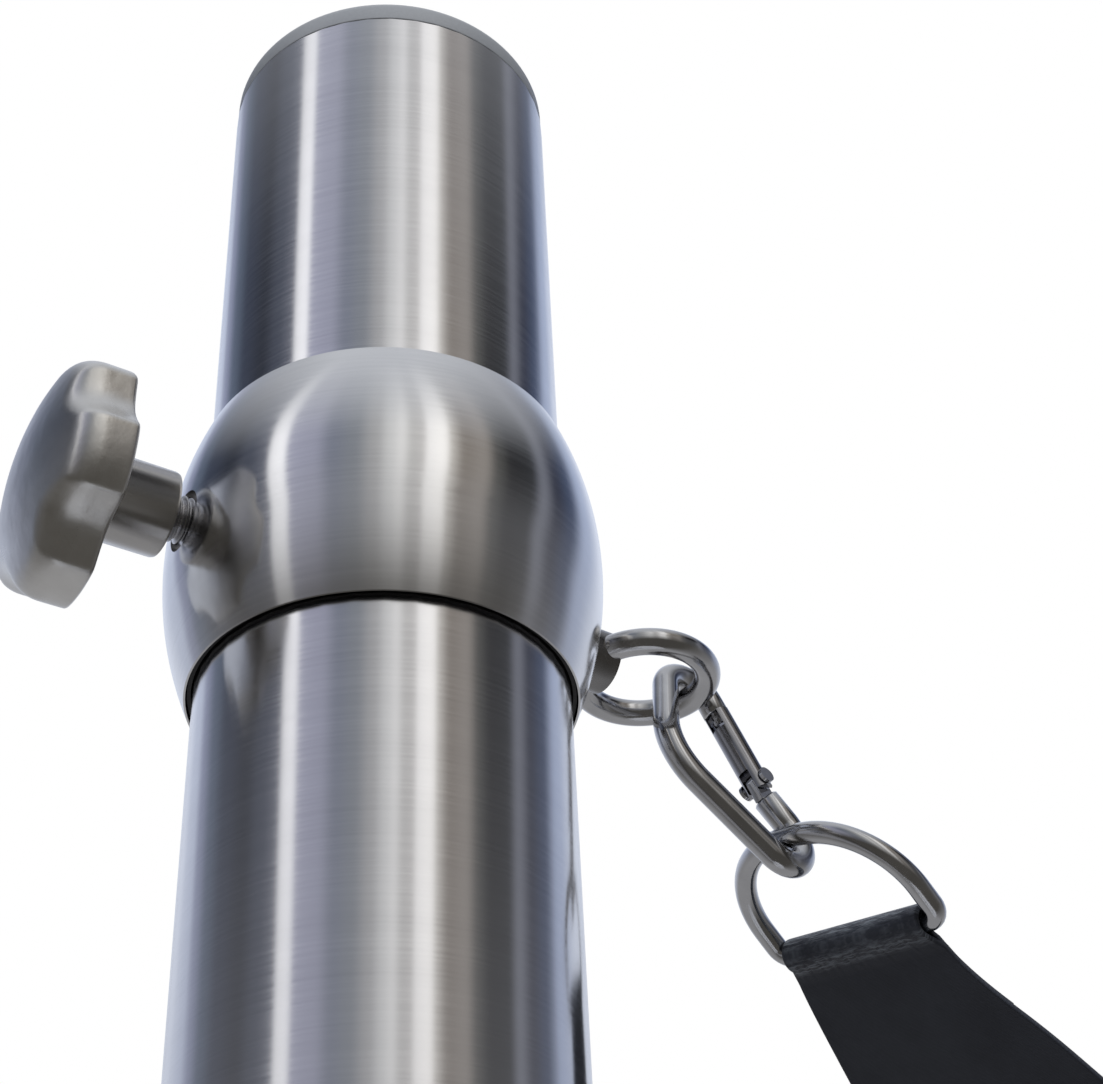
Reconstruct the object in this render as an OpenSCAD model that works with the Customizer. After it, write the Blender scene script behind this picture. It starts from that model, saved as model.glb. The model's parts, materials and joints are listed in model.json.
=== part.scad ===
// Shade sail post: a round steel tube on a base plate, with a barrel-shaped collar that
// slides on the tube and is clamped by a star knob. An eye on the collar carries a snap
// hook, a D-ring and the corner of the sail. Millimetres, +Z up, origin on the ground
// below the tube's axis. +X is the side of the eye, -X the side of the knob.

/* [Post] */
// Outside diameter of the tube
tube_d = 76.1; // [60.3:0.1:88.9]
// Wall of the tube
tube_wall = 2; // [1.5:0.5:3]
// Height of the tube's open top end above the ground
post_h = 2500; // [2200:50:3000]
// Height of the cap above the tube's end
cap_h = 7.7; // [5:0.1:10]

/* [Base plate] */
// Side of the square plate
plate_w = 200; // [180:5:260]
// Thickness of the plate
plate_t = 10; // [8:1:15]
// Distance between neighbouring anchor holes
hole_pitch = 150; // [140:1:150]
// Diameter of the anchor holes
hole_d = 14; // [11:1:18]

/* [Collar] */
// Depth of the collar's centre below the tube's end
collar_drop = 139.3; // [60:0.1:400]
// Height of the collar from lip to lip
collar_h = 62; // [56:1:66]
// Largest thickness of the collar beyond the tube
collar_rise = 7.85; // [7:0.05:9]

/* [Eye, hook and ring] */
// Wire of the eye and of the snap hook
hook_wire = 6; // [5:0.5:6]
// Wire of the D-ring
ring_wire = 5; // [4:0.5:5]

/* [Sail] */
// Thickness of the folded sail cloth
cloth_t = 3; // [2:0.5:4]

/* [Hidden] */
$fn = 96;

tube_r = tube_d / 2;
bore_r = tube_r - tube_wall;
collar_z = post_h - collar_drop;

// Weld between tube and plate, as the leg of its triangle
weld_leg = 5;
plate_corner_r = 12;

// Cap: a rounded lid a little narrower than the tube, on a skirt pushed into the bore
cap_inset = 0.2;
cap_edge = 2;
cap_shoulder = 1;
cap_skirt_h = 18;
cap_skirt_wall = 2;

// Collar: an arc turned about the tube's axis, with a bush at each lip
lip_bore_r = tube_r + 1.35;
lip_wall = 0.4;
collar_r = tube_r + collar_rise;
bulge = collar_r - lip_bore_r - lip_wall;
arc_r = ((collar_h / 2) ^ 2 + bulge ^ 2) / (2 * bulge);
shell_wall = 2.5;
bush_gap = 0.3;
bush_h = 8;
bush_recess = 0.8;

// Clamp screw M10 on the side away from the eye, its nut inside the shell and its pad
// before the tube
screw_d = 10;
screw_clear = 0.05;
nut_d = 20;
pad_d = 9;
pad_t = 2;
pad_gap = 0.3;
screw_play = 0.2;
entry_d = 13;

// Star knob: the direction of its screw from the eye, the distances of hub and head from
// the tube's axis, and the half section of the head as radius and height
screw_side = 177;
hub_near = collar_r + 3.4;
hub_d = 18;
head_near = collar_r + 18.6;
head_top = 15.7;
head_section = [[0, 0], [25, 0], [25, 6.5], [24, 9.3], [21.5, 11.8], [16, 13.6], [8, 15.2],
                [0, head_top]];
lobes = 5;
lobe_phase = 34;
notch_r = 12;
notch_at = 33.6;

// Eye: a ring of wire on a short boss with a weld bead round it
eye_at = collar_r + 21.6;
eye_r = 14.2;
boss_d = 14;
eye_bead_r = 1.6;
eye_bead_out = 0.3;

// Snap hook: it hangs on the eye's wire, turned away from the eye's far side, and its
// outline runs from the latch over the wide end, down the bent back and round the narrow
// end to the hinge of the gate. The origin is the centre of the eye's wire.
hook_at = 8;
hook_yaw = 4;
hook_tilt = -12;
hook_lean = -161.4;
hook_corners = [[-7.2, 3], [-7.2, -23.7], [17.75, 15.1], [-10.2, 61.8], [-10.2, 35], [-7.7, 27.5]];
hook_bends = [0, 7, 16, 6.2, 4, 0];
hook_bead = 0.06;
gate_x = -7.4;
gate_top = 3.5;
gate_low = 25.5;
pivot_y = 23.5;

// Latch nose in the gate's upper slot, and the tongue and rivet in its lower fork
neck_d = 2.6;
neck_h = 2.4;
nose_d = 3.4;
nose_h = 1.4;
nose_slot = 4;
nose_slot_end = 8;
tongue_w = 4.6;
tongue_t = 2.4;
fork_slot = 3;
fork_from = 20.5;
rivet_d = 2.5;
rivet_head_d = 3.8;
rivet_head_h = 0.8;
rivet_clear = 0.05;

// D-ring: a half-round ring with a straight bar, hung on the hook's lower bend
ring_at = [eye_at + 30.8, -4.3, -35];
ring_yaw = 12.8;
ring_dip = 33;
ring_roll = 14.1;
ring_shift = -1.85;
ring_half = 23.7;
ring_h = 28.9;
ring_top_r = 20.8;
ring_corner_r = 3.5;

// Sail corner, folded round the bar and widening down to its cut end
fold_gap = 0.3;
fold_from = -21.8;
fold_to = 19;
panel_end = 85;
panel_left = 33;
panel_right = -38;
left_edge = [[44, 24.4], [66, 29.1]];
right_edge = [[60, -30.3], [46, -23.7]];
hem_w = 8;
hem_t = 4;

// ---- helpers -------------------------------------------------------------------------

function turn_of(a, b) = atan2(a[0] * b[1] - a[1] * b[0], a * b);
function dir(a, b) = (b - a) / norm(b - a);
function cut_back(r, a) = r * tan(abs(a) / 2);

// One straight stretch of round wire in the XY plane
module rod(a, b, d) {
    translate([a[0], a[1], 0])
        rotate([0, 0, atan2(b[1] - a[1], b[0] - a[0])])
            rotate([0, 90, 0])
                cylinder(d = d, h = norm(b - a));
}

// One bend of round wire at corner b, between the corners a and c
module bend(a, b, c, r, d) {
    into = dir(a, b);
    out = dir(b, c);
    angle = turn_of(into, out);
    side = sign(angle);
    start = b - into * cut_back(r, angle);
    centre = start + side * r * [-into[1], into[0]];
    from = atan2(start[1] - centre[1], start[0] - centre[0]);
    translate([centre[0], centre[1], 0])
        rotate([0, 0, side > 0 ? from : from + angle])
            rotate_extrude(angle = abs(angle))
                translate([r, 0])
                    circle(d = d, $fn = 32);
}

// Round wire along corner points with a bend radius at each corner between the ends. A ball
// proud of the wire by the bead closes each joint between a stretch and a bend.
module wire(p, r, d, bead = 0) {
    n = len(p);
    angle = [for (i = [0:n - 1])
        i == 0 || i == n - 1 ? 0 : turn_of(dir(p[i - 1], p[i]), dir(p[i], p[i + 1]))];
    for (i = [0:n - 2]) {
        way = dir(p[i], p[i + 1]);
        rod(p[i] + way * cut_back(r[i], angle[i]),
            p[i + 1] - way * cut_back(r[i + 1], angle[i + 1]), d);
    }
    for (i = [1:n - 2]) {
        bend(p[i - 1], p[i], p[i + 1], r[i], d);
        if (bead > 0)
            for (side = [p[i - 1], p[i + 1]])
                translate(p[i] + dir(p[i], side) * cut_back(r[i], angle[i]))
                    sphere(d = d + bead, $fn = 48);
    }
}

// Places the collar's own frame at its height on the tube
module at_collar() {
    translate([0, 0, collar_z])
        children();
}

// Places a part on the clamp screw's axis, so that its own +Z points away from the tube
module along_screw(r) {
    at_collar()
        rotate([0, 0, screw_side])
            translate([r, 0, 0])
                rotate([0, 90, 0])
                    children();
}

// ---- post ----------------------------------------------------------------------------

module base_plate() {
    pitch = hole_pitch / 2;
    inner = plate_w / 2 - plate_corner_r;
    color("silver")
        difference() {
            union() {
                translate([-plate_w / 2, -inner, 0])
                    cube([plate_w, 2 * inner, plate_t]);
                translate([-inner, -plate_w / 2, 0])
                    cube([2 * inner, plate_w, plate_t]);
                for (x = [-inner, inner], y = [-inner, inner])
                    translate([x, y, 0])
                        cylinder(r = plate_corner_r, h = plate_t);
            }
            for (x = [-pitch, pitch], y = [-pitch, pitch])
                translate([x, y, -1])
                    cylinder(d = hole_d, h = plate_t + 2);
        }
}

module base_weld() {
    color("darkgray")
        translate([0, 0, plate_t])
            rotate_extrude()
                polygon([[tube_r, 0], [tube_r + weld_leg, 0], [tube_r, weld_leg]]);
}

module post_tube() {
    color("gainsboro")
        translate([0, 0, plate_t])
            difference() {
                cylinder(r = tube_r, h = post_h - plate_t);
                translate([0, 0, -1])
                    cylinder(r = bore_r, h = post_h - plate_t + 2);
            }
}

module top_cap() {
    rim_r = tube_r - cap_inset;
    shoulder_r = rim_r - cap_shoulder;
    color("gray")
        translate([0, 0, post_h]) {
            rotate_extrude()
                polygon([[0, 0], [rim_r, 0], [rim_r, cap_h - 2 * cap_edge],
                         [shoulder_r, cap_h - cap_edge / 2], [shoulder_r - cap_edge, cap_h],
                         [0, cap_h]]);
            translate([0, 0, -cap_skirt_h])
                difference() {
                    cylinder(r = bore_r, h = cap_skirt_h);
                    translate([0, 0, -1])
                        cylinder(r = bore_r - cap_skirt_wall, h = cap_skirt_h + 1);
                }
        }
}

// ---- collar --------------------------------------------------------------------------

// Section of the collar's outer arc, moved inwards by an offset
module barrel(inset) {
    rotate_extrude()
        intersection() {
            translate([collar_r - arc_r, 0])
                circle(r = arc_r - inset, $fn = 360);
            translate([0, -collar_h])
                square([2 * collar_r, 2 * collar_h]);
        }
}

module collar_shell() {
    color("lightgray")
        at_collar()
            difference() {
                intersection() {
                    barrel(0);
                    translate([0, 0, -collar_h / 2])
                        cylinder(r = 2 * collar_r, h = collar_h);
                }
                barrel(shell_wall);
                translate([0, 0, -collar_h])
                    cylinder(r = lip_bore_r, h = 2 * collar_h);
                rotate([0, 0, screw_side])
                    rotate([0, 90, 0])
                        cylinder(d = entry_d, h = 2 * collar_r);
            }
}

// Plastic ring that guides the collar on the tube, with its outer end at height z
module bush(z, up) {
    color("dimgray")
        at_collar()
            translate([0, 0, up ? z - bush_h : z])
                difference() {
                    cylinder(r = lip_bore_r - bush_gap, h = bush_h);
                    translate([0, 0, -1])
                        cylinder(r = tube_r + bush_gap, h = bush_h + 2);
                }
}

module upper_bush() {
    bush(collar_h / 2 - bush_recess, true);
}

module lower_bush() {
    bush(bush_recess - collar_h / 2, false);
}

// Threaded block inside the shell that the clamp screw runs in
module screw_nut() {
    color("darkgray")
        at_collar()
            rotate([0, 0, screw_side])
                difference() {
                    intersection() {
                        rotate([0, 90, 0])
                            cylinder(d = nut_d, h = collar_r);
                        barrel(shell_wall);
                    }
                    translate([0, 0, -nut_d])
                        cylinder(r = lip_bore_r, h = 2 * nut_d);
                    rotate([0, 90, 0])
                        cylinder(d = screw_d + 2 * screw_clear, h = 2 * collar_r);
                }
}

module eye_boss() {
    color("darkgray")
        at_collar()
            difference() {
                rotate([0, 90, 0])
                    cylinder(d = boss_d, h = eye_at - eye_r + hook_wire / 2);
                barrel(0);
            }
}

module eye_weld() {
    color("gray")
        at_collar()
            difference() {
                translate([collar_r + eye_bead_out, 0, 0])
                    rotate([0, 90, 0])
                        rotate_extrude()
                            translate([boss_d / 2, 0])
                                circle(r = eye_bead_r, $fn = 32);
                barrel(0);
                rotate([0, 90, 0])
                    cylinder(d = boss_d, h = eye_at);
            }
}

module eye_ring() {
    color("silver")
        at_collar()
            translate([eye_at, 0, 0])
                rotate_extrude()
                    translate([eye_r, 0])
                        circle(d = hook_wire, $fn = 32);
}

// ---- clamp screw and knob ------------------------------------------------------------

module thrust_pad() {
    color("goldenrod")
        along_screw(tube_r + pad_gap)
            cylinder(d = pad_d, h = pad_t);
}

module clamp_screw() {
    start = tube_r + pad_gap + pad_t + screw_play;
    color("silver")
        along_screw(start)
            cylinder(d = screw_d, h = head_near - start);
}

module star_knob() {
    hub_h = head_near - hub_near;
    color("silver")
        along_screw(hub_near)
            difference() {
                union() {
                    cylinder(d = hub_d, h = hub_h + 1);
                    translate([0, 0, hub_h])
                        difference() {
                            rotate_extrude()
                                polygon(head_section);
                            for (i = [0:lobes - 1])
                                rotate([0, 0, lobe_phase + i * 360 / lobes])
                                    translate([notch_at, 0, -1])
                                        cylinder(r = notch_r, h = head_top + 2);
                        }
                }
                translate([0, 0, -1])
                    cylinder(d = screw_d, h = hub_h + 1);
            }
}

// ---- snap hook -----------------------------------------------------------------------

// Hook plane: own +Y runs down the hook, own +X towards its back
module in_hook() {
    at_collar()
        translate([eye_at + eye_r * cos(hook_at), eye_r * sin(hook_at), 0])
            rotate([0, 0, hook_yaw])
                rotate([90 + hook_tilt, 0, 0])
                    rotate([0, 0, hook_lean])
                        children();
}

// Cuts or adds a block centred on the gate's line, from height y0 to y1
module on_gate(w, y0, y1, t) {
    translate([gate_x - w / 2, y0, -t / 2])
        cube([w, y1 - y0, t]);
}

module hook_body() {
    latch = hook_corners[0];
    root = hook_corners[5][1] + 1;
    color("silver")
        in_hook() {
            difference() {
                union() {
                    wire(hook_corners, hook_bends, hook_wire, hook_bead);
                    on_gate(tongue_w, pivot_y, root, tongue_t);
                    translate([gate_x, pivot_y, -tongue_t / 2])
                        cylinder(d = tongue_w, h = tongue_t);
                }
                translate([gate_x, pivot_y, -hook_wire])
                    cylinder(d = rivet_d + 2 * rivet_clear, h = 2 * hook_wire);
            }
            translate(latch)
                rotate([-90, 0, 0])
                    translate([0, 0, -1]) {
                        cylinder(d = neck_d, h = neck_h + 1);
                        translate([0, 0, neck_h + 1])
                            cylinder(d = nose_d, h = nose_h);
                    }
        }
}

module hook_gate() {
    through = 2 * hook_wire;
    color("gray")
        in_hook()
            difference() {
                rod([gate_x, gate_top], [gate_x, gate_low], hook_wire);
                on_gate(through, gate_top - 1, nose_slot_end, nose_slot);
                on_gate(through, fork_from, gate_low + 1, fork_slot);
                translate([gate_x, pivot_y, -hook_wire])
                    cylinder(d = rivet_d, h = through);
            }
}

module gate_rivet() {
    reach = hook_wire / 2 + rivet_clear;
    color("gray")
        in_hook()
            translate([gate_x, pivot_y, 0]) {
                cylinder(d = rivet_d, h = 2 * reach, center = true);
                for (side = [-1, 1])
                    translate([0, 0, side * (reach + rivet_head_h / 2)])
                        cylinder(d = rivet_head_d, h = rivet_head_h, center = true);
            }
}

// ---- D-ring and sail -----------------------------------------------------------------

// Ring plane: own +X runs down the ring, own +Y along its bar
module in_ring() {
    at_collar()
        translate(ring_at)
            rotate([0, 0, ring_yaw])
                rotate([0, ring_dip, 0])
                    rotate([ring_roll, 0, 0])
                        children();
}

module d_ring() {
    w = ring_half;
    h = ring_h;
    color("silver")
        in_ring()
            translate([0, ring_shift, 0])
                wire([[h, 0], [h, w], [0, w], [0, -w], [h, -w], [h, 0]],
                     [0, ring_corner_r, ring_top_r, ring_top_r, ring_corner_r, 0], ring_wire);
}

module sail_fold() {
    inner = ring_wire / 2 + fold_gap;
    color("black")
        in_ring()
            translate([ring_h, fold_from, 0])
                rotate([-90, 0, 0])
                    difference() {
                        cylinder(r = inner + cloth_t / 2, h = fold_to - fold_from);
                        translate([0, 0, -1])
                            cylinder(r = inner, h = fold_to - fold_from + 2);
                    }
}

module sail_corner() {
    start = ring_h + ring_wire / 2 + 2 * fold_gap;
    color("black")
        in_ring()
            translate([0, 0, -cloth_t / 2])
                linear_extrude(height = cloth_t)
                    polygon(concat([[start, fold_from], [start, fold_to]], left_edge,
                                   [[panel_end, panel_left], [panel_end, panel_right]],
                                   right_edge));
}

module sail_hem() {
    color("black")
        in_ring()
            translate([panel_end, panel_right, -hem_t / 2])
                cube([hem_w, panel_left - panel_right, hem_t]);
}

base_plate();
base_weld();
post_tube();
top_cap();
upper_bush();
lower_bush();
collar_shell();
screw_nut();
eye_boss();
eye_weld();
eye_ring();
thrust_pad();
star_knob();
clamp_screw();
hook_body();
hook_gate();
gate_rivet();
d_ring();
sail_fold();
sail_corner();
sail_hem();
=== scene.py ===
import json
import math

import bmesh
import bpy
import numpy as np
from mathutils import Matrix, Vector


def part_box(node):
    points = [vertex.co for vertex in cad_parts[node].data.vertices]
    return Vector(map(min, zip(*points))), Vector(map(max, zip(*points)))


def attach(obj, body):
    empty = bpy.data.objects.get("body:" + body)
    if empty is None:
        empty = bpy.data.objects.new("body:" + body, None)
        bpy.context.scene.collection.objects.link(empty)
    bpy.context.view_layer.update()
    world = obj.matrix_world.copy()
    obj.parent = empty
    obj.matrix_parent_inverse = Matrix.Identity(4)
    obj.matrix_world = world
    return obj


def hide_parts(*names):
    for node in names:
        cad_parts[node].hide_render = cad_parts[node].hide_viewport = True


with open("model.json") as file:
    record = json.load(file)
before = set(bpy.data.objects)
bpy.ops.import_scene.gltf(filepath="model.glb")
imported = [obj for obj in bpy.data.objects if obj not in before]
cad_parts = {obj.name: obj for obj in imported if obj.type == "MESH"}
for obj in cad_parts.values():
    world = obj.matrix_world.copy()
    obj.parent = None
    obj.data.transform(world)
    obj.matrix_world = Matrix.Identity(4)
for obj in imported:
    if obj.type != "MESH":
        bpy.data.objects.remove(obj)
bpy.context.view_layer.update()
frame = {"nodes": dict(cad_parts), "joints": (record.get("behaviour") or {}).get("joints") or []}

# ---- Camera ---------------------------------------------------------------------------
# It stands beside the post below the collar and looks up past it, from the side between
# the knob and the eye.
heading, rise, roll = math.radians(54.29), math.radians(38.1), math.radians(-2.82)
forward = Vector((math.cos(rise) * math.cos(heading), math.cos(rise) * math.sin(heading), math.sin(rise)))
level_right = forward.cross(Vector((0, 0, 1))).normalized()
level_up = level_right.cross(forward)
right = level_right * math.cos(roll) + level_up * math.sin(roll)
up = level_up * math.cos(roll) - level_right * math.sin(roll)

camera_data = bpy.data.cameras.new("camera")
camera_data.lens = 69.11
camera_data.sensor_width = 36
camera_data.clip_end = 100
camera = bpy.data.objects.new("camera", camera_data)
camera.matrix_world = Matrix((right, up, -forward)).transposed().to_4x4()
camera.location = (-0.17839, -0.30898, 2.09164)
bpy.context.scene.collection.objects.link(camera)
bpy.context.scene.camera = camera
bpy.context.scene.view_settings.view_transform = "Standard"


# ---- Floor, surroundings and lamps ----------------------------------------------------
# The post stands on a round pale floor, in a ring of tall soft panels and dark flags that
# brushed and polished steel mirrors. One big soft lamp gives the shadows.
class Socket:
    """An output socket with arithmetic, in the node tree it belongs to."""

    def __init__(self, shader, socket):
        self.shader, self.socket = shader, socket

    def math(self, operation, *values):
        """One Math node with that operation."""
        return self.shader.add("ShaderNodeMath", {"operation": operation}, *values)

    def __add__(self, other):
        return self.math("ADD", self, other)

    def __radd__(self, other):
        return self.math("ADD", other, self)

    def __sub__(self, other):
        return self.math("SUBTRACT", self, other)

    def __rsub__(self, other):
        return self.math("SUBTRACT", other, self)

    def __mul__(self, other):
        return self.math("MULTIPLY", self, other)

    def __rmul__(self, other):
        return self.math("MULTIPLY", other, self)

    def __truediv__(self, other):
        return self.math("DIVIDE", self, other)

    def __pow__(self, other):
        return self.math("POWER", self, other)


class Shader:
    """A node tree under construction: a material's or the world's."""

    def __init__(self, owner):
        owner.use_nodes = True
        self.tree = owner.node_tree
        self.tree.nodes.clear()

    def add(self, kind, settings=None, *values, output=0, **named):
        """One node of that kind. Its settings are set first, with a ramp's stops as
        (place, colour) pairs, then its sockets by order or by name."""
        node = self.tree.nodes.new(kind)
        for key, value in (settings or {}).items():
            if key == "stops":
                ramp = node.color_ramp
                while len(ramp.elements) > 1:
                    ramp.elements.remove(ramp.elements[-1])
                for i, (place, colour) in enumerate(value):
                    stop = ramp.elements[0] if i == 0 else ramp.elements.new(place)
                    stop.position, stop.color = place, (*colour, 1)
            elif key == "interpolation":
                node.color_ramp.interpolation = value
            else:
                setattr(node, key, value)
        for i, value in enumerate(values):
            self.feed(node.inputs[i], value)
        for key, value in named.items():
            self.feed(node.inputs[key.replace("_", " ")], value)
        return Socket(self, node.outputs[output]) if node.outputs else None

    def feed(self, socket, value):
        """Links a socket to an input, or sets the input's own value; None leaves it."""
        if isinstance(value, Socket):
            self.tree.links.new(value.socket, socket)
        elif value is not None:
            socket.default_value = (*value, 1) if socket.type == "RGBA" and len(value) == 3 else value

    def blend(self, factor, a, b):
        """Colour a turned to colour b by factor."""
        node = self.tree.nodes.new("ShaderNodeMix")
        node.data_type = "RGBA"
        for i, value in ((0, factor), (6, a), (7, b)):
            self.feed(node.inputs[i], value)
        return Socket(self, node.outputs[2])

    def scaled(self, vector, scale):
        """A vector times a vector, part by part."""
        return self.add("ShaderNodeVectorMath", {"operation": "MULTIPLY"}, vector, scale)

    def place(self):
        """Object coordinates, in metres."""
        return self.add("ShaderNodeTexCoord", output=3)

    def noise(self, vector, scale, detail=2.0, roughness=0.5):
        """A noise texture's value, from 0 to 1 and mostly near the middle."""
        return self.add("ShaderNodeTexNoise", Vector=vector, Scale=scale, Detail=detail, Roughness=roughness)

    def spread(self, value, low, high, to_low=0.0, to_high=1.0):
        """Value brought from the range low..high to to_low..to_high, and held there."""
        return self.add("ShaderNodeMapRange", {"clamp": True}, value, low, high, to_low, to_high)

    def finish(self, **sockets):
        """The Principled surface with these sockets, on the material's output."""
        surface = self.add("ShaderNodeBsdfPrincipled", None, **sockets)
        self.add("ShaderNodeOutputMaterial", None, surface)


def material(name):
    """A new material of that name, as an empty node tree."""
    return Shader(bpy.data.materials.new(name))


def paint(obj, name):
    """The piece shows that material on every face."""
    made = bpy.data.materials[name]
    if obj.data.materials:
        for i in range(len(obj.data.materials)):
            obj.data.materials[i] = made
    else:
        obj.data.materials.append(made)


# Stops go once round the horizon, in degrees from the camera's side of the post: open sky,
# a dark flag, a bright strip, a grey wall, a bright window, a dark flag and sky again
surroundings = [
    (-180, (0.80, 0.86, 1.0)), (-152, (0.60, 0.66, 0.82)), (-141, (0.30, 0.33, 0.46)),
    (-128, (0.12, 0.15, 0.21)), (-112, (0.05, 0.06, 0.09)), (-92, (0.03, 0.035, 0.05)),
    (-78, (0.07, 0.08, 0.11)), (-65, (0.14, 0.15, 0.19)), (-62, (1.1, 1.1, 1.12)),
    (-54, (1.22, 1.22, 1.24)), (-50, (0.42, 0.43, 0.54)), (-36, (0.38, 0.39, 0.49)),
    (-24, (0.22, 0.24, 0.30)), (-12, (0.25, 0.27, 0.30)), (0, (0.45, 0.45, 0.45)),
    (9, (0.75, 0.75, 0.74)), (15, (0.95, 0.94, 0.92)), (21, (0.62, 0.61, 0.59)),
    (27, (0.66, 0.64, 0.62)), (30, (1.18, 1.16, 1.13)), (40, (1.32, 1.29, 1.24)),
    (44, (0.60, 0.57, 0.52)), (51, (0.26, 0.23, 0.20)), (64, (0.33, 0.30, 0.27)),
    (73, (0.08, 0.08, 0.075)), (82, (0.02, 0.02, 0.022)), (97, (0.025, 0.027, 0.03)),
    (106, (0.20, 0.21, 0.25)), (118, (0.04, 0.045, 0.07)), (132, (0.06, 0.08, 0.14)),
    (150, (0.45, 0.52, 0.70)), (180, (0.80, 0.86, 1.0)),
]
world = bpy.data.worlds.new("studio")
bpy.context.scene.world = world
studio = Shader(world)
split = studio.tree.nodes.new("ShaderNodeSeparateXYZ")
studio.feed(split.inputs[0], studio.add("ShaderNodeTexCoord"))
east, north, height = (Socket(studio, split.outputs[i]) for i in range(3))
camera_side = heading + math.pi
turn = studio.add(
    "ShaderNodeMath",
    {"operation": "ARCTAN2"},
    north * math.cos(camera_side) - east * math.sin(camera_side),
    east * math.cos(camera_side) + north * math.sin(camera_side),
)
# Lower down, the ring of panels closes up on the camera's side
closing = studio.spread(height, 0.42, 0.79, 0.8, 1.0)
panels = studio.add(
    "ShaderNodeValToRGB",
    {"interpolation": "EASE", "stops": [(d / 360 + 0.5, c) for d, c in surroundings]},
    turn / (2 * math.pi) / closing + 0.5,
)
overhead = studio.spread(height, 0.72, 0.98)
panels = studio.blend(overhead, panels, (0.62, 0.64, 0.68))
haze = studio.spread(height, 0.66, 0.42, 0.0, 0.28)
panels = studio.blend(haze, panels, (0.30, 0.30, 0.31))
# Below the horizon it is dark on the camera's side and grey on the far side
below = studio.spread(height, 0.34, -0.2)
off_side = studio.add("ShaderNodeMath", {"operation": "ABSOLUTE"}, turn)
ground_tone = studio.blend(studio.spread(off_side, 1.2, 2.3), (0.09, 0.085, 0.077), (0.38, 0.38, 0.39))
panels = studio.blend(below, panels, ground_tone)
seen = studio.add("ShaderNodeLightPath")
lit = studio.add("ShaderNodeBackground", None, panels, 1.0)
white = studio.add("ShaderNodeBackground", None, (1.0, 1.0, 1.0), 1.0)
shown = studio.add("ShaderNodeMixShader", None, seen, lit, white)
studio.add("ShaderNodeOutputWorld", None, shown)

floor_mesh = bpy.data.meshes.new("floor")
floor_reach, floor_sides = 0.7, 96
floor_rim = np.linspace(0, 2 * math.pi, floor_sides, endpoint=False)
floor_points = [(floor_reach * math.cos(a), floor_reach * math.sin(a), 0) for a in floor_rim]
floor_mesh.from_pydata(floor_points, [], [list(range(floor_sides))])
floor = bpy.data.objects.new("floor", floor_mesh)
bpy.context.scene.collection.objects.link(floor)
ground = material("pale_floor")
speck = ground.noise(ground.place(), 40.0, 3.0)
ground.finish(
    Base_Color=ground.blend(speck, (0.72, 0.72, 0.72), (0.76, 0.76, 0.76)),
    Roughness=0.9,
)
paint(floor, "pale_floor")

lamp_data = bpy.data.lights.new("soft_lamp", "AREA")
lamp_data.shape, lamp_data.size, lamp_data.energy = "DISK", 2.4, 110
lamp = bpy.data.objects.new("soft_lamp", lamp_data)
lamp.location = (-1.6, -2.6, 4.4)
lamp.rotation_euler = (Vector((0, 0, 2.2)) - lamp.location).to_track_quat("-Z", "Y").to_euler()
lamp.visible_glossy = False
bpy.context.scene.collection.objects.link(lamp)


# ---- Post tube, base plate and weld ---------------------------------------------------
# A drawn stainless tube ground round with a fine belt, so its lines run round the tube.
# It is welded to a square plate with four anchor holes.
def bump_feed(shader, height, strength, distance):
    """A Bump node for that height, with its strength and its distance in metres."""
    node = shader.tree.nodes.new("ShaderNodeBump")
    shader.feed(node.inputs["Strength"], strength)
    shader.feed(node.inputs["Distance"], distance)
    shader.feed(node.inputs["Height"], height)
    return Socket(shader, node.outputs[0])


def steel(name, light, dark, rough, lines=1500.0, grain=1.0, anisotropy=0.7):
    """Stainless steel ground round the post: fine lines are noise that is long round the
    tube and short along it, and they vary the roughness, the tone and the relief."""
    s = material(name)
    spot = s.place()
    fine = s.noise(s.scaled(spot, (26.0, 26.0, lines)), 1.0, 3.0, 0.6)
    coarse = s.noise(s.scaled(spot, (9.0, 9.0, lines / 9)), 1.0, 2.0, 0.55)
    cloud = s.noise(s.scaled(spot, (14.0, 14.0, 5.0)), 1.0, 2.0)
    tone = s.spread(fine * 0.6 + coarse * 0.4, 0.3, 0.7)
    relief = bump_feed(s, fine * 0.7 + coarse * 0.3, 0.06 * grain, 0.00006)
    s.finish(
        Base_Color=s.blend(tone, dark, light),
        Metallic=1.0,
        Roughness=s.spread(cloud * 0.5 + fine * 0.5, 0.3, 0.7, rough - 0.05, rough + 0.06),
        Anisotropic=anisotropy,
        Anisotropic_Rotation=0.25,
        Normal=relief,
    )


steel("ground_tube", (0.78, 0.78, 0.80), (0.70, 0.70, 0.72), 0.17)
paint(frame["nodes"]["post_tube"], "ground_tube")

plate = material("plate_steel")
plate_spot = plate.place()
grind = plate.noise(plate.scaled(plate_spot, (16.0, 700.0, 700.0)), 1.0, 3.0)
plate.finish(
    Base_Color=plate.blend(grind, (0.60, 0.60, 0.62), (0.74, 0.74, 0.76)),
    Metallic=1.0,
    Roughness=plate.spread(grind, 0.3, 0.7, 0.26, 0.4),
    Normal=bump_feed(plate, grind, 0.15, 0.0002),
)
paint(frame["nodes"]["base_plate"], "plate_steel")


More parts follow.
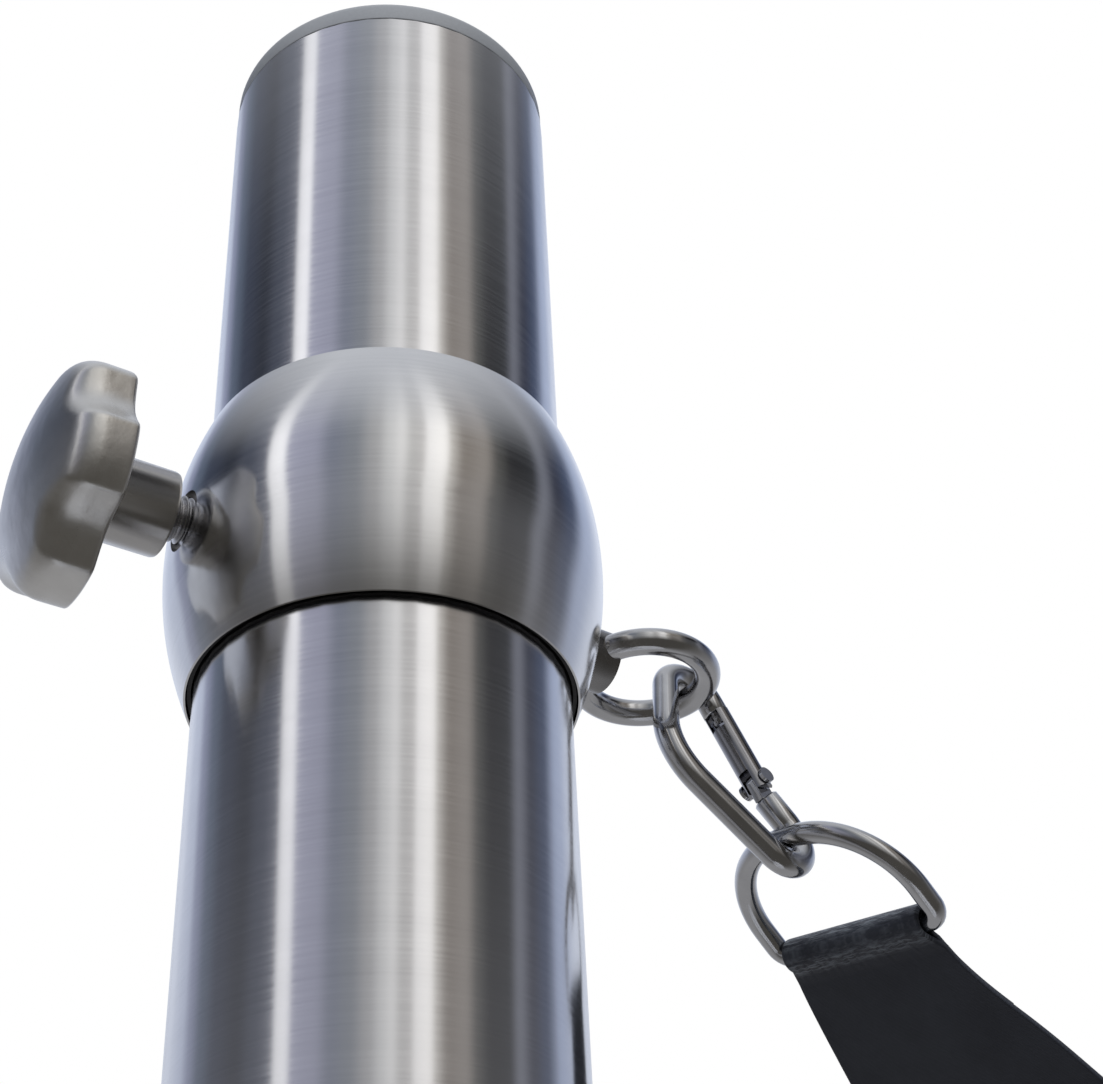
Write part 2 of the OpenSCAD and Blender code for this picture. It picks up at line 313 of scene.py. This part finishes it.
def surface(name, points, body, slot, paints, round_u=False, round_v=False, sharp=40):
    """A piece from a grid of points in millimetres, of shape (u, v, 3). A closed direction
    joins its last row to its first; rows drawn to a point are merged there."""
    nu, nv = points.shape[:2]
    rows, columns = np.arange(nu if round_u else nu - 1), np.arange(nv if round_v else nv - 1)
    u, v = np.meshgrid(rows, columns, indexing="ij")
    u1, v1 = (u + 1) % nu, (v + 1) % nv
    faces = np.stack([u * nv + v, u1 * nv + v, u1 * nv + v1, u * nv + v1], axis=-1).reshape(-1, 4)
    mesh = bpy.data.meshes.new(name)
    mesh.from_pydata((points.reshape(-1, 3) * 0.001).tolist(), [], faces.tolist())
    shape = bmesh.new()
    shape.from_mesh(mesh)
    bmesh.ops.remove_doubles(shape, verts=shape.verts, dist=2e-6)
    bmesh.ops.dissolve_degenerate(shape, edges=shape.edges, dist=1e-6)
    bmesh.ops.recalc_face_normals(shape, faces=shape.faces)
    shape.to_mesh(mesh)
    shape.free()
    mesh.shade_smooth()
    mesh.set_sharp_from_angle(angle=math.radians(sharp))
    obj = bpy.data.objects.new(name, mesh)
    bpy.context.scene.collection.objects.link(obj)
    paint(obj, paints)
    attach(obj, body)
    return obj


def turned(profile, count):
    """A profile of (radius, height) points turned round +Z: x = r cos a, y = r sin a."""
    profile = np.asarray(profile, float)
    a = np.linspace(0, 2 * math.pi, count, endpoint=False)[None, :]
    r, h = profile[:, :1], profile[:, 1:]
    return np.stack([r * np.cos(a), r * np.sin(a), h + 0 * a], axis=-1)


def arc(centre, radius, start, end, count):
    """Points (radius, height) on an arc in a profile, from one angle to another."""
    a = np.radians(np.linspace(start, end, count))
    return np.stack([centre[0] + radius * np.cos(a), centre[1] + radius * np.sin(a)], axis=-1)


def weld_material(name, tone):
    """Weld metal: ripples and pits over a bright, slightly blue bead."""
    s = material(name)
    lump = s.noise(s.place(), 900.0, 4.0, 0.6)
    s.finish(
        Base_Color=s.blend(lump, tone, (0.80, 0.80, 0.82)),
        Metallic=1.0,
        Roughness=s.spread(lump, 0.3, 0.7, 0.18, 0.4),
        Normal=bump_feed(s, lump, 0.5, 0.0004),
    )


weld_material("plate_weld", (0.42, 0.42, 0.45))
tube_r = (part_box("post_tube")[1].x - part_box("post_tube")[0].x) * 500
plate_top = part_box("base_plate")[1].z * 1000
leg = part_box("base_weld")[1].x * 1000 - tube_r
# The bead runs from the plate up to the tube, swells in its middle and is rippled round it
half_ripples, ripple_height, swell, sunk = 60, 0.22, 0.16, 1.0
around = np.linspace(0, 2 * math.pi, 360, endpoint=False)[None, :]
across = np.linspace(-0.05, 1.05, 9)[:, None]
middle_share = np.sin(math.pi * np.clip(across, 0, 1))
ripple = ripple_height * np.abs(np.sin(half_ripples * around)) * middle_share
bead_r = tube_r + leg * (1 - across) + swell * middle_share + ripple
bead_z = plate_top + leg * across + ripple
face = np.stack([bead_r * np.cos(around), bead_r * np.sin(around), bead_z + 0 * around], axis=-1)
root_r = tube_r - sunk + 0 * around
root_z = plate_top - sunk / 2 + 0 * around
root = np.stack([root_r * np.cos(around), root_r * np.sin(around), root_z], axis=-1)
foot_weld = surface(
    "foot_weld",
    np.concatenate([face, root]),
    "post", "weld", "plate_weld", round_u=True, round_v=True,
)
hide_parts("base_weld")

# ---- Cap ------------------------------------------------------------------------------
# A grey satin lid moulded with a rounded edge, pushed into the open end of the tube.
cap = material("cap_grey")
cap_grain = cap.noise(cap.place(), 1400.0, 2.0)
cap.finish(
    Base_Color=cap.blend(cap_grain, (0.26, 0.275, 0.30), (0.32, 0.34, 0.37)),
    Roughness=cap.spread(cap_grain, 0.3, 0.7, 0.34, 0.46),
    Specular_IOR_Level=0.6,
    Normal=bump_feed(cap, cap_grain, 0.08, 0.0001),
)
post_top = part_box("post_tube")[1].z * 1000
cap_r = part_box("top_cap")[1].x * 1000
cap_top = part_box("top_cap")[1].z * 1000
edge, lip_round, lip_gap, skirt_in, skirt_h = 3.2, 0.4, 0.45, 2.2, 18
lip_z = post_top + lip_gap
lid = np.concatenate([
    [(0, post_top - skirt_h), (cap_r - 5, post_top - skirt_h)],
    [(cap_r - skirt_in, post_top - skirt_h + 1), (cap_r - skirt_in, lip_z)],
    [(cap_r - lip_round, lip_z)],
    arc((cap_r - lip_round, lip_z + lip_round), lip_round, -90, 0, 4),
    arc((cap_r - edge, cap_top - edge), edge, 0, 90, 10),
    [(cap_r * 0.5, cap_top), (0, cap_top)],
])
cap_lid = surface("cap_lid", turned(lid, 144), "post", "cap", "cap_grey", round_v=True, sharp=50)
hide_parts("top_cap")

# ---- Collar and its bushes ------------------------------------------------------------
# A barrel pressed from stainless sheet with thin turned lips, ground round like the tube.
# A black plastic ring inside each lip slides on the tube.
steel("ground_collar", (0.80, 0.80, 0.81), (0.72, 0.72, 0.73), 0.15, lines=1300.0, grain=0.8)
paint(frame["nodes"]["collar_shell"], "ground_collar")

bush = material("bush_black")
bush_grain = bush.noise(bush.place(), 2500.0, 2.0)
bush.finish(
    Base_Color=bush.blend(bush_grain, (0.008, 0.008, 0.009), (0.018, 0.018, 0.02)),
    Roughness=bush.spread(bush_grain, 0.3, 0.7, 0.45, 0.6),
)
paint(frame["nodes"]["upper_bush"], "bush_black")
paint(frame["nodes"]["lower_bush"], "bush_black")

turned_steel = material("turned_steel")
tool_marks = turned_steel.noise(turned_steel.place(), 1200.0, 3.0)
turned_steel.finish(
    Base_Color=turned_steel.blend(tool_marks, (0.34, 0.34, 0.36), (0.50, 0.50, 0.52)),
    Metallic=1.0,
    Roughness=turned_steel.spread(tool_marks, 0.3, 0.7, 0.25, 0.4),
)
paint(frame["nodes"]["screw_nut"], "turned_steel")

# ---- Star knob and clamp screw --------------------------------------------------------
# The knob is cast stainless with five soft lobes, polished but not flat, on a machined hub.
# An M10 screw is fixed in the hub, and a brass pad on its end bears on the tube.
screw_joint = next(j for j in frame["joints"] if j["name"] == "knob_turn")
collar_z = screw_joint["pos_m"][2] * 1000
out_way = np.array(screw_joint["axis"], float)
down_way = np.array([0.0, 0.0, -1.0])
side_way = np.cross(out_way, down_way)


def on_screw(points):
    """Points (x, y, z) with z along the clamp screw, put on its axis in the row frame."""
    return points @ np.stack([down_way, side_way, out_way]) + np.array([0, 0, collar_z])


# Distances from the tube's axis: the hub's end, the head's back, where the side wall starts
# to round over, and the top of the dome
hub_near, head_near, wall_top = 49.3, 64.5, 70.0
head_r, head_top, dome_r = 25.0, 80.2, 62.0
lobes, lobe_phase, notch, notch_half = 5, math.radians(34), 3.4, math.radians(19)
front_round, back_round, blend_width = 4.5, 0.8, 0.5


def dome(r):
    """Height of the spherical front at radius r."""
    return head_top - dome_r + np.sqrt(dome_r**2 - r**2)


def head_points(count):
    """A domed disc with a scalloped edge. The outline is head_r less a parabola round each
    gap, max(0, notch (1 - (angle / notch_half)^2)) with its corner softened; the front edge
    is a quadratic curve from the wall to the dome."""
    a = np.linspace(0, 2 * math.pi, count, endpoint=False)[None, :]
    step = 2 * math.pi / lobes
    gap = (a - lobe_phase + step / 2) % step - step / 2
    dent = notch * (1 - (gap / notch_half) ** 2)
    outline = head_r - 0.5 * (dent + np.sqrt(dent**2 + blend_width**2))
    inner = outline - front_round
    slope = -inner / np.sqrt(dome_r**2 - inner**2)
    corner_h = dome(inner) + slope * front_round
    rows = [(r * outline / head_r, head_near + 0 * a) for r in (0, 8, 16, 22)]
    for q in np.radians(np.linspace(-90, 0, 6)):
        back_r = outline - back_round * (1 - math.cos(q))
        rows.append((back_r, head_near + back_round * (1 + math.sin(q)) + 0 * a))
    rows += [(outline, h + 0 * a) for h in np.linspace(head_near + 1.6, wall_top - 0.6, 4)]
    for t in np.linspace(0, 1, 12):
        front_h = (1 - t) ** 2 * wall_top + 2 * t * (1 - t) * corner_h + t**2 * dome(inner)
        rows.append(((1 - t**2) * outline + t**2 * inner, front_h))
    rows += [(f * inner, dome(f * inner)) for f in np.linspace(0.96, 0, 16)]
    radius = np.concatenate([r for r, h in rows])
    height = np.concatenate([h for r, h in rows])
    return on_screw(np.stack([radius * np.cos(a), radius * np.sin(a), height], axis=-1))


cast = material("cast_polished")
cast_spot = cast.place()
orange_peel = cast.noise(cast_spot, 190.0, 3.0, 0.5)
pits = cast.noise(cast_spot, 2200.0, 2.0)
scuffs = cast.noise(cast.scaled(cast_spot, (300.0, 40.0, 60.0)), 1.0, 3.0)
cast.finish(
    Base_Color=cast.blend(orange_peel, (0.62, 0.61, 0.59), (0.80, 0.79, 0.77)),
    Metallic=1.0,
    Roughness=cast.spread(scuffs * 0.6 + pits * 0.4, 0.3, 0.7, 0.26, 0.38),
    Normal=bump_feed(cast, orange_peel * 0.9 + pits * 0.08, 0.3, 0.0005),
)
knob_head = surface("knob_head", head_points(288), "knob", "cast", "cast_polished", round_v=True, sharp=70)

steel("turned_hub", (0.62, 0.61, 0.60), (0.48, 0.47, 0.46), 0.2, lines=400.0, anisotropy=0.3)
hub = np.array([
    (4.4, hub_near + 0.6), (5.4, hub_near), (8.2, hub_near), (8.8, hub_near + 0.2), (9.0, hub_near + 0.8),
    (9.0, head_near - 0.4), (9.4, head_near + 0.3), (9.9, head_near + 1.2), (4.4, head_near + 2.0),
])
surface("knob_hub", on_screw(turned(hub, 96)), "knob", "cast", "turned_hub", round_u=True, round_v=True)
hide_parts("star_knob")

thread = material("rolled_thread")
thread_tone = thread.noise(thread.place(), 700.0, 2.0)
thread.finish(
    Base_Color=thread.blend(thread_tone, (0.48, 0.48, 0.50), (0.56, 0.56, 0.58)),
    Metallic=1.0,
    Roughness=thread.spread(thread_tone, 0.3, 0.7, 0.22, 0.3),
)
# The thread's radius is a cosine of the turns made along the screw less the angle round it
pitch, screw_r, thread_depth, rows_a_turn = 1.5, 5.0, 0.85, 24
screw_start = tube_r + 2.5
turns = (hub_near + 3 - screw_start) / pitch
angle = np.linspace(0, 2 * math.pi, 97)[None, :]
along = np.arange(0, turns, 1 / rows_a_turn)[:, None]
thread_r = screw_r - thread_depth * (0.5 + 0.5 * np.cos(2 * math.pi * along - angle))
thread_z = screw_start + 0.3 + along * pitch + 0 * angle
thread_body = np.stack([thread_r * np.cos(angle), thread_r * np.sin(angle), thread_z], axis=-1)
thread_body[:, -1] = thread_body[:, 0]
ends = [thread_body[:1] * [0, 0, 1], thread_body, thread_body[-1:] * [0, 0, 1]]
screw = surface("clamp_thread", on_screw(np.concatenate(ends)), "knob", "screw", "rolled_thread", sharp=70)
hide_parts("clamp_screw")

brass = material("turned_brass")
brass_tone = brass.noise(brass.place(), 900.0, 2.0)
brass.finish(
    Base_Color=brass.blend(brass_tone, (0.56, 0.40, 0.16), (0.72, 0.54, 0.25)),
    Metallic=1.0,
    Roughness=brass.spread(brass_tone, 0.3, 0.7, 0.24, 0.38),
)
paint(frame["nodes"]["thrust_pad"], "turned_brass")


# ---- Eye ------------------------------------------------------------------------------
# A ring bent from 6 mm stainless wire and polished, on a short boss that is welded to the
# collar's side with a rough bead.
def polished(name, light, dark, rough):
    """Polished stainless wire: a slow waviness, a few fine scuffs and dull spots."""
    s = material(name)
    spot = s.place()
    wave = s.noise(spot, 160.0, 2.0)
    scuff = s.noise(spot, 1700.0, 3.0, 0.6)
    s.finish(
        Base_Color=s.blend(wave, dark, light),
        Metallic=1.0,
        Roughness=s.spread(scuff * 0.6 + wave * 0.4, 0.35, 0.65, rough - 0.04, rough + 0.08),
        Normal=bump_feed(s, wave * 0.8 + scuff * 0.03, 0.2, 0.0003),
    )


polished("polished_wire", (0.64, 0.64, 0.65), (0.46, 0.46, 0.47), 0.12)
# The boss is the ring's polished steel coloured darker: painted shade on its underside below the bead
polished("boss_painted_shade", (0.34, 0.33, 0.33), (0.22, 0.22, 0.22), 0.24)
paint(frame["nodes"]["eye_ring"], "polished_wire")
paint(frame["nodes"]["eye_boss"], "boss_painted_shade")

weld_material("eye_bead", (0.52, 0.51, 0.50))
# The bead is a round section whose half width wanders round the boss, fullest on top
boss_r = (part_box("eye_boss")[1].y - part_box("eye_boss")[0].y) * 500
bead_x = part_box("eye_weld")[1].x * 1000 - 1.6
a = np.linspace(0, 2 * math.pi, 180, endpoint=False)[:, None]
b = np.linspace(0, 2 * math.pi, 20, endpoint=False)[None, :]
wander = 0.2 * np.cos(a) + 0.14 * np.sin(9 * a) + 0.13 * np.sin(17 * a + 1.0) + 0.07 * np.sin(31 * a)
half_width = 1.7 * (1 + wander)
bead_ring = boss_r + half_width * np.cos(b)
bead = np.stack([
    bead_x + half_width * np.sin(b) * 0.95,
    bead_ring * np.sin(a),
    collar_z + bead_ring * np.cos(a),
], axis=-1)
eye_bead = surface("eye_bead", bead, "collar", "weld", "eye_bead", round_u=True, round_v=True)
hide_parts("eye_weld")


# ---- Snap hook ------------------------------------------------------------------------
# The hook is bent from polished 6 mm wire, wide at the eye and narrow at the ring. Its
# gate is a rod with a slot for the latch nose, and turns on a rivet in the hook's tongue.
def turn_about(axis, degrees):
    """Rotation matrix about a main axis."""
    return np.array(Matrix.Rotation(math.radians(degrees), 3, axis))


def bent_path(corners, bends, step=0.6):
    """Centre line through corner points in a plane: straight stretches joined by arcs of
    each corner's bend radius, tangent to both sides."""
    corners = np.asarray(corners, float)
    line = [corners[0]]
    for before, corner, after, radius in zip(corners, corners[1:], corners[2:], bends[1:]):
        go_in = (corner - before) / np.linalg.norm(corner - before)
        go_out = (after - corner) / np.linalg.norm(after - corner)
        bend = math.atan2(go_in[0] * go_out[1] - go_in[1] * go_out[0], go_in @ go_out)
        start = corner - go_in * radius * math.tan(abs(bend) / 2)
        side = math.copysign(1, bend)
        centre = start + side * radius * np.array([-go_in[1], go_in[0]])
        first = math.atan2(*(start - centre)[::-1])
        a = first + np.linspace(0, bend, max(3, int(abs(bend) * radius / step)))
        line += list(centre + radius * np.stack([np.cos(a), np.sin(a)], axis=-1))
    line.append(corners[-1])
    return np.array(line)


def wire_points(line, radius, closed=False, count=28, round_ends=0.0):
    """A round section carried along a line in the XY plane, at right angles to it, with its
    ends drawn in to a point."""
    ahead = np.roll(line, -1, 0) - np.roll(line, 1, 0)
    if not closed:
        ahead[0], ahead[-1] = line[1] - line[0], line[-1] - line[-2]
    ahead /= np.linalg.norm(ahead, axis=1, keepdims=True)
    out = np.stack([-ahead[:, 1], ahead[:, 0]], axis=-1)
    a = np.linspace(0, 2 * math.pi, count, endpoint=False)
    ring = np.cos(a)[None, :, None] * np.pad(out, ((0, 0), (0, 1)))[:, None, :]
    points = np.pad(line, ((0, 0), (0, 1)))[:, None, :] + radius * ring
    points[:, :, 2] += radius * np.sin(a)[None, :]
    if closed:
        return points
    centre = np.pad(line, ((0, 0), (0, 1)))[:, None, :] + 0 * points
    ends = []
    for at, out_by in ((0, -round_ends), (-1, round_ends)):
        tip = centre[at] + np.pad(ahead[at], (0, 1)) * out_by
        ends.append((tip, tip + (points[at] - centre[at]) * 0.86))
    (first_tip, first_rim), (last_tip, last_rim) = ends
    return np.concatenate([[first_tip, first_rim], points, [last_rim, last_tip]])


hook_joint = next(j for j in frame["joints"] if j["name"] == "hook_swing")
hook_turn = turn_about("Z", 4) @ turn_about("X", 78) @ turn_about("Z", -161.4)
hook_origin = np.array(hook_joint["pos_m"]) * 1000


def in_hook(points):
    """Points in the hook's own plane, put in the row frame: the origin is the centre of the
    eye's wire, +Y runs down the hook and +X towards its back."""
    return points @ hook_turn.T + hook_origin


wire_r = 3.0
hook_corners = [(-7.2, 3.4), (-7.2, -23.7), (17.75, 15.1), (-10.2, 61.8), (-10.2, 35), (-7.7, 27.9)]
hook_bends = [0, 7, 16, 6.2, 4, 0]
hook_line = bent_path(hook_corners, hook_bends)
hook_wire = surface(
    "hook_wire",
    in_hook(wire_points(hook_line, wire_r, round_ends=0.4)),
    "hook", "polished", "polished_wire", round_v=True, sharp=50,
)

gate_x, pivot_y, root_y, tongue_r = -7.4, 23.5, 28.2, 2.3


def upright(profile, count=40):
    """A (radius, height) profile turned round the gate's own line, with height down the
    hook."""
    ring = turned(profile, count)
    return np.stack([ring[..., 0] + gate_x, ring[..., 2], ring[..., 1]], axis=-1)


nose = [(0, 2.0), (1.3, 2.0), (1.3, 5.2), (1.7, 5.4), (1.7, 6.5), (1.4, 6.8), (0, 6.8)]
surface(
    "latch_nose",
    in_hook(upright(nose) + [0.2, 0, 0]),
    "hook", "polished", "polished_wire", round_v=True,
)


def slab(outline, half, chamfer):
    """A flat plate from an outline in the hook's plane, with bevelled rims."""
    outline = np.asarray(outline, float)
    middle = outline.mean(0)
    reach = np.linalg.norm(outline - middle, axis=1, keepdims=True)
    inner = middle + (outline - middle) * (1 - chamfer / reach)
    layers = [(middle + 0 * outline, -half), (inner, -half), (outline, chamfer - half),
              (outline, half - chamfer), (inner, half), (middle + 0 * outline, half)]
    return np.stack([np.concatenate([ring, np.full((len(ring), 1), z)], axis=1) for ring, z in layers])


end = np.radians(np.linspace(0, 180, 17))
tongue_outline = np.concatenate([
    [(gate_x - tongue_r, root_y), (gate_x - tongue_r, pivot_y)],
    np.stack([gate_x - tongue_r * np.cos(end), pivot_y - tongue_r * np.sin(end)], axis=-1)[1:-1],
    [(gate_x + tongue_r, pivot_y), (gate_x + tongue_r, root_y)],
])
surface(
    "hook_tongue",
    in_hook(slab(tongue_outline, 1.2, 0.2)),
    "hook", "polished", "polished_wire", round_v=True,
)
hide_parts("hook_body")
# The gate is the hook's polished steel coloured darker: painted shade
polished("gate_painted_shade", (0.40, 0.40, 0.42), (0.27, 0.27, 0.29), 0.16)
paint(frame["nodes"]["hook_gate"], "gate_painted_shade")
paint(frame["nodes"]["gate_rivet"], "polished_wire")

# ---- D-ring ---------------------------------------------------------------------------
# Bent from 5 mm polished wire, with a round bow over the hook and a straight bar that the
# sail's corner is folded round.
ring_joint = next(j for j in frame["joints"] if j["name"] == "ring_swing")
ring_turn = turn_about("Z", 12.8) @ turn_about("Y", 33) @ turn_about("X", 14.1)
ring_origin = np.array(ring_joint["pos_m"]) * 1000


def in_ring(points):
    """Points in the ring's own plane, put in the row frame: +X runs from the hook to the
    bar, and +Y along the bar."""
    return points @ ring_turn.T + ring_origin


half, bar_at, bow_r, corner_r, shift = 23.7, 28.9, 20.8, 3.5, -1.85
ring_corners = [(0, 0), (0, half), (bar_at, half), (bar_at, -half), (0, -half), (0, 0)]
ring_line = bent_path(ring_corners, [0, bow_r, corner_r, corner_r, bow_r, 0])[1:-1] + [0, shift]
d_wire = surface(
    "d_wire", in_ring(wire_points(ring_line, 2.5, closed=True)), "ring", "polished", "polished_wire",
    round_u=True, round_v=True,
)
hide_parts("d_ring")

# ---- Sail corner ----------------------------------------------------------------------
# Black woven polyester, folded over the ring's bar and stitched to itself, widening from
# the bar to a hemmed end. Tension draws it flat but for small creases at the fold.
fold_r, cloth_t = 3.45, 1.1
panel_end, hem_end = 85.0, 93.0
flap = 26.0
under = np.stack([np.linspace(bar_at + flap, bar_at + 2, 16), np.full(16, 0.75)], axis=-1)
wrap_a = np.radians(np.linspace(60, 300, 22))
wrap = np.stack([bar_at + fold_r * np.cos(wrap_a), fold_r * np.sin(wrap_a)], axis=-1)
front = np.stack([np.linspace(bar_at + 7, hem_end - 1.2, 60), np.full(60, -0.75)], axis=-1)
hem_a = np.radians(np.linspace(-80, 80, 7))
hem_turn = np.stack([hem_end - 1.0 + 0.9 * np.cos(hem_a), 0.05 + 0.8 * np.sin(hem_a)], axis=-1)
hem_back = np.stack([np.linspace(hem_end - 2, panel_end, 8), np.full(8, 0.85)], axis=-1)
section = np.concatenate([under, wrap, front, hem_turn, hem_back])


def edge_at(x, stops):
    """Where the cloth's edge lies at distance x from the hook: straight between its stops,
    with each corner rounded by averaging over a few millimetres either side."""
    places, sides = zip(*stops)
    return np.mean([np.interp(x + d, places, sides) for d in np.linspace(-9, 9, 19)], axis=0)


left = edge_at(section[:, 0], [(27, 19.4), (35, 22.0), (44, 24.4), (66, 29.3), (93, 35.0)])
right = edge_at(
    section[:, 0], [(27, -22.0), (32, -21.8), (46.1, -23.7), (60, -30.3), (76.7, -35.5), (93, -40.4)]
)
on_wrap = np.abs(section[:, 0] - bar_at) < 4.2
tuck = np.where(np.arange(len(section)) < len(under), 1.6, 0.0)
left = np.where(on_wrap, np.minimum(left, 18.9), left) - tuck
right = np.where(on_wrap, np.maximum(right, -21.8), right) + tuck
share = np.linspace(0, 1, 120)[None, :]
y = left[:, None] + (right - left)[:, None] * share
near_bar = np.exp(-((section[:, :1] - bar_at - 2.5) / 2.6) ** 2)
rib = np.sin(y * 2.3 + 1.1 * np.sin(y * 0.83) + 0.8 * np.sin(y * 1.71 + 2.0))
crease = 0.1 * rib * near_bar
belly = 0.5 * np.sin(share * math.pi * 2.2 + 0.4) * np.clip((section[:, :1] - 40) / 40, 0, 1)
nx = np.gradient(section[:, 1])
nz = -np.gradient(section[:, 0])
size = np.hypot(nx, nz)
nx, nz = (nx / size)[:, None], (nz / size)[:, None]
x = section[:, :1] + nx * crease
z = section[:, 1:] + nz * crease + belly
cloth_points = np.stack([x + 0 * y, y, z + 0 * y], axis=-1)

cloth = material("sail_cloth")
weave_uv = cloth.add("ShaderNodeUVMap", {"uv_map": "cloth"})
warp = cloth.add("ShaderNodeTexWave", {"bands_direction": "X"}, weave_uv, 900.0, 0.4, 1.0)
weft = cloth.add("ShaderNodeTexWave", {"bands_direction": "Y"}, weave_uv, 900.0, 0.4, 1.0)
fade = cloth.noise(weave_uv, 60.0, 4.0, 0.6)
weave = warp * 0.5 + weft * 0.5
across_uv = cloth.tree.nodes.new("ShaderNodeSeparateXYZ")
cloth.feed(across_uv.inputs[0], weave_uv)
from_hook = Socket(cloth, across_uv.outputs[0])
off_fold = cloth.add("ShaderNodeMath", {"operation": "ABSOLUTE"}, from_hook - 0.0262)
at_fold = cloth.spread(off_fold, 0.0018, 0.0044, 1.0, 0.0)
# Along the fold the cloth's ribs are coloured lighter, a painted highlight on them; the same noise also
# raises their bump
gathers_and_highlight = cloth.noise(cloth.scaled(weave_uv, (1100.0, 190.0, 1.0)), 1.0, 3.0, 0.65)
plain = cloth.blend(
    cloth.spread(fade * 0.7 + weave * 0.3, 0.3, 0.75), (0.027, 0.030, 0.041), (0.048, 0.054, 0.070)
)
cloth.finish(
    # Painted highlight: the fold's ribs get a lighter grey-blue colour
    Base_Color=cloth.blend(at_fold * cloth.spread(gathers_and_highlight, 0.45, 0.62), plain, (0.17, 0.19, 0.22)),
    Roughness=cloth.spread(at_fold, 0.0, 1.0, 0.66, 0.42),
    Specular_IOR_Level=0.3,
    Sheen_Weight=0.06,
    Sheen_Roughness=0.4,
    Normal=bump_feed(cloth, weave * 0.3 + fade * 0.4 + gathers_and_highlight * at_fold * 3.0, 0.6, 0.0004),
)
sail = surface("sail_cloth", in_ring(cloth_points), "tab", "sail", "sail_cloth", sharp=180)
uv_layer = sail.data.uv_layers.new(name="cloth")
spots = np.array([v.co for v in sail.data.vertices]) * 1000
flat_spots = (spots - ring_origin) @ ring_turn
corner_verts = np.zeros(len(sail.data.loops), int)
sail.data.loops.foreach_get("vertex_index", corner_verts)
flat_uv = np.stack([flat_spots[:, 0] + flat_spots[:, 2] * 1.4, flat_spots[:, 1]], axis=-1) * 0.001
uv_layer.data.foreach_set("uv", flat_uv[corner_verts].ravel())
thick = sail.modifiers.new("thickness", "SOLIDIFY")
thick.thickness, thick.offset = cloth_t * 0.001, 0.0
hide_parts("sail_fold", "sail_corner", "sail_hem")

stitch = material("sail_thread")
stitch_tone = stitch.noise(stitch.place(), 3000.0, 1.0)
stitch.finish(
    Base_Color=stitch.blend(stitch_tone, (0.012, 0.012, 0.016), (0.03, 0.03, 0.038)),
    Roughness=0.6,
)


def seam(name, at, face):
    """A row of stitches across the cloth: one thread that rises and dips along it."""
    t = np.linspace(0, 1, 400)
    low = edge_at(at, [(44, 23.0), (93, 33.6)])
    high = edge_at(at, [(44, -22.4), (60, -29.0), (93, -39.0)])
    line_y = low + (high - low) * t
    belly_here = 0.5 * np.sin(t * math.pi * 2.2 + 0.4) * np.clip((at - 40) / 40, 0, 1)
    lift = face * (1.25 + 0.35 * np.sin(line_y * 2 * math.pi / 3.2)) + belly_here
    a = np.linspace(0, 2 * math.pi, 6, endpoint=False)[None, :]
    tube = np.stack([
        at + 0.22 * np.cos(a) + 0 * line_y[:, None],
        line_y[:, None] + 0 * a,
        lift[:, None] + 0.22 * np.sin(a),
    ], axis=-1)
    middle = tube.mean(1, keepdims=True) + 0 * tube
    thread = np.concatenate([middle[:1], tube, middle[-1:]])
    return surface(name, in_ring(thread), "tab", "sail", "sail_thread", round_v=True)


seams = [seam("hem_seam", panel_end + 2, -1)]
